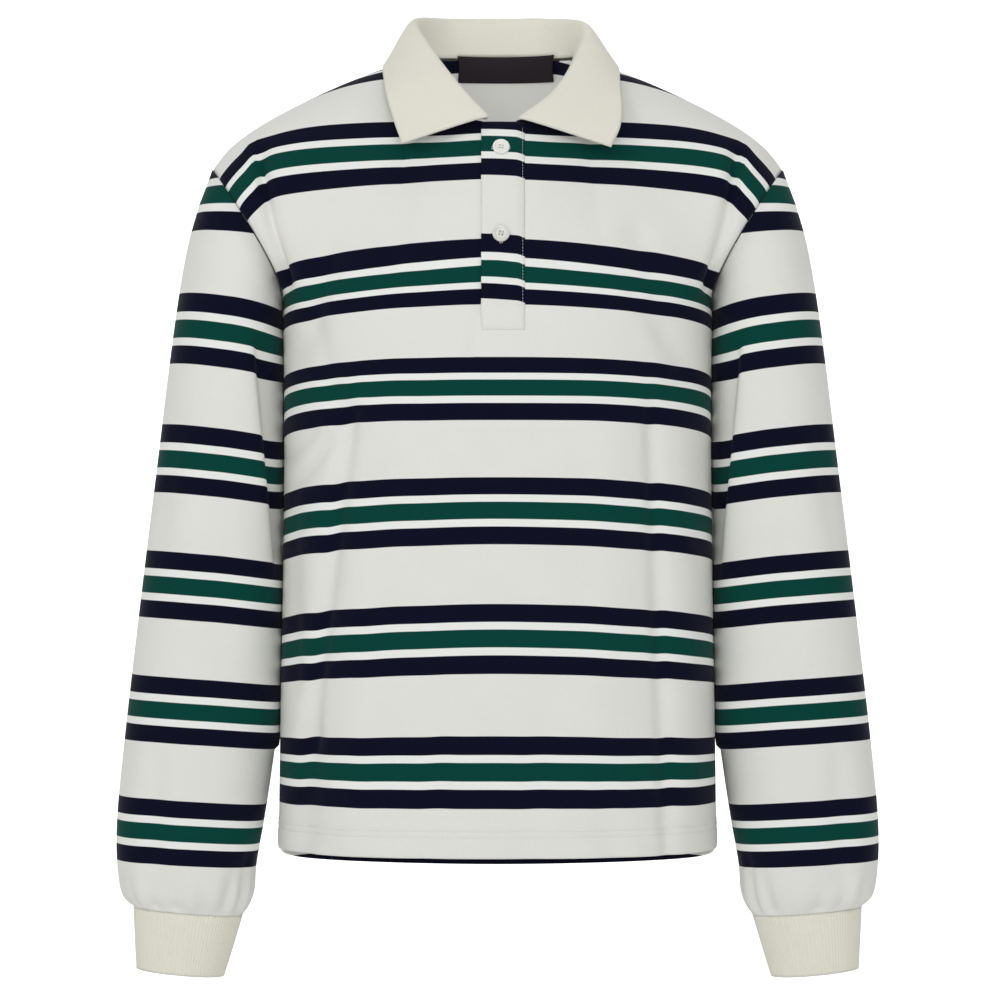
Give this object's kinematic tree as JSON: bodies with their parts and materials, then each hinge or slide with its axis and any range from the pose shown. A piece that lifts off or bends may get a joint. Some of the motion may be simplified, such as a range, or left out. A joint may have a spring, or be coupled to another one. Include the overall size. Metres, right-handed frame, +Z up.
{
  "type": "rugby shirt",
  "caption": "Long-sleeved striped knit shirt with a folded collar, a buttoned neck placket and ribbed cuffs, filled out as when worn.",
  "frame": {"origin": "Middle of the neck between the neck ends of the two shoulder seams, where the wearer's shoulders carry the shirt", "axes": "+Z up along the wearer's spine, -Y the front of the shirt, +X the viewer's right when the front is seen (the wearer's left)"},
  "size_m": [0.6318, 0.2265, 0.8032],
  "materials": {
    "striped_jersey": "brushed cotton jersey, off-white with navy and green yarn-dyed stripes",
    "ecru_rib": "ecru cotton rib knit",
    "ecru_collar_knit": "ecru flat-knit cotton collar",
    "white_button": "white four-hole button",
    "plum_label": "plain dark woven label"
  },
  "bodies": {
    "root": {"front": "striped_jersey", "back": "striped_jersey", "sleeve_left": "striped_jersey", "sleeve_right": "striped_jersey", "cuff_left": "ecru_rib", "cuff_right": "ecru_rib", "collar": "ecru_collar_knit", "placket_over": "striped_jersey", "placket_under": "striped_jersey", "button_top": "white_button", "button_second": "white_button", "label": "plum_label"}
  },
  "joints": []
}
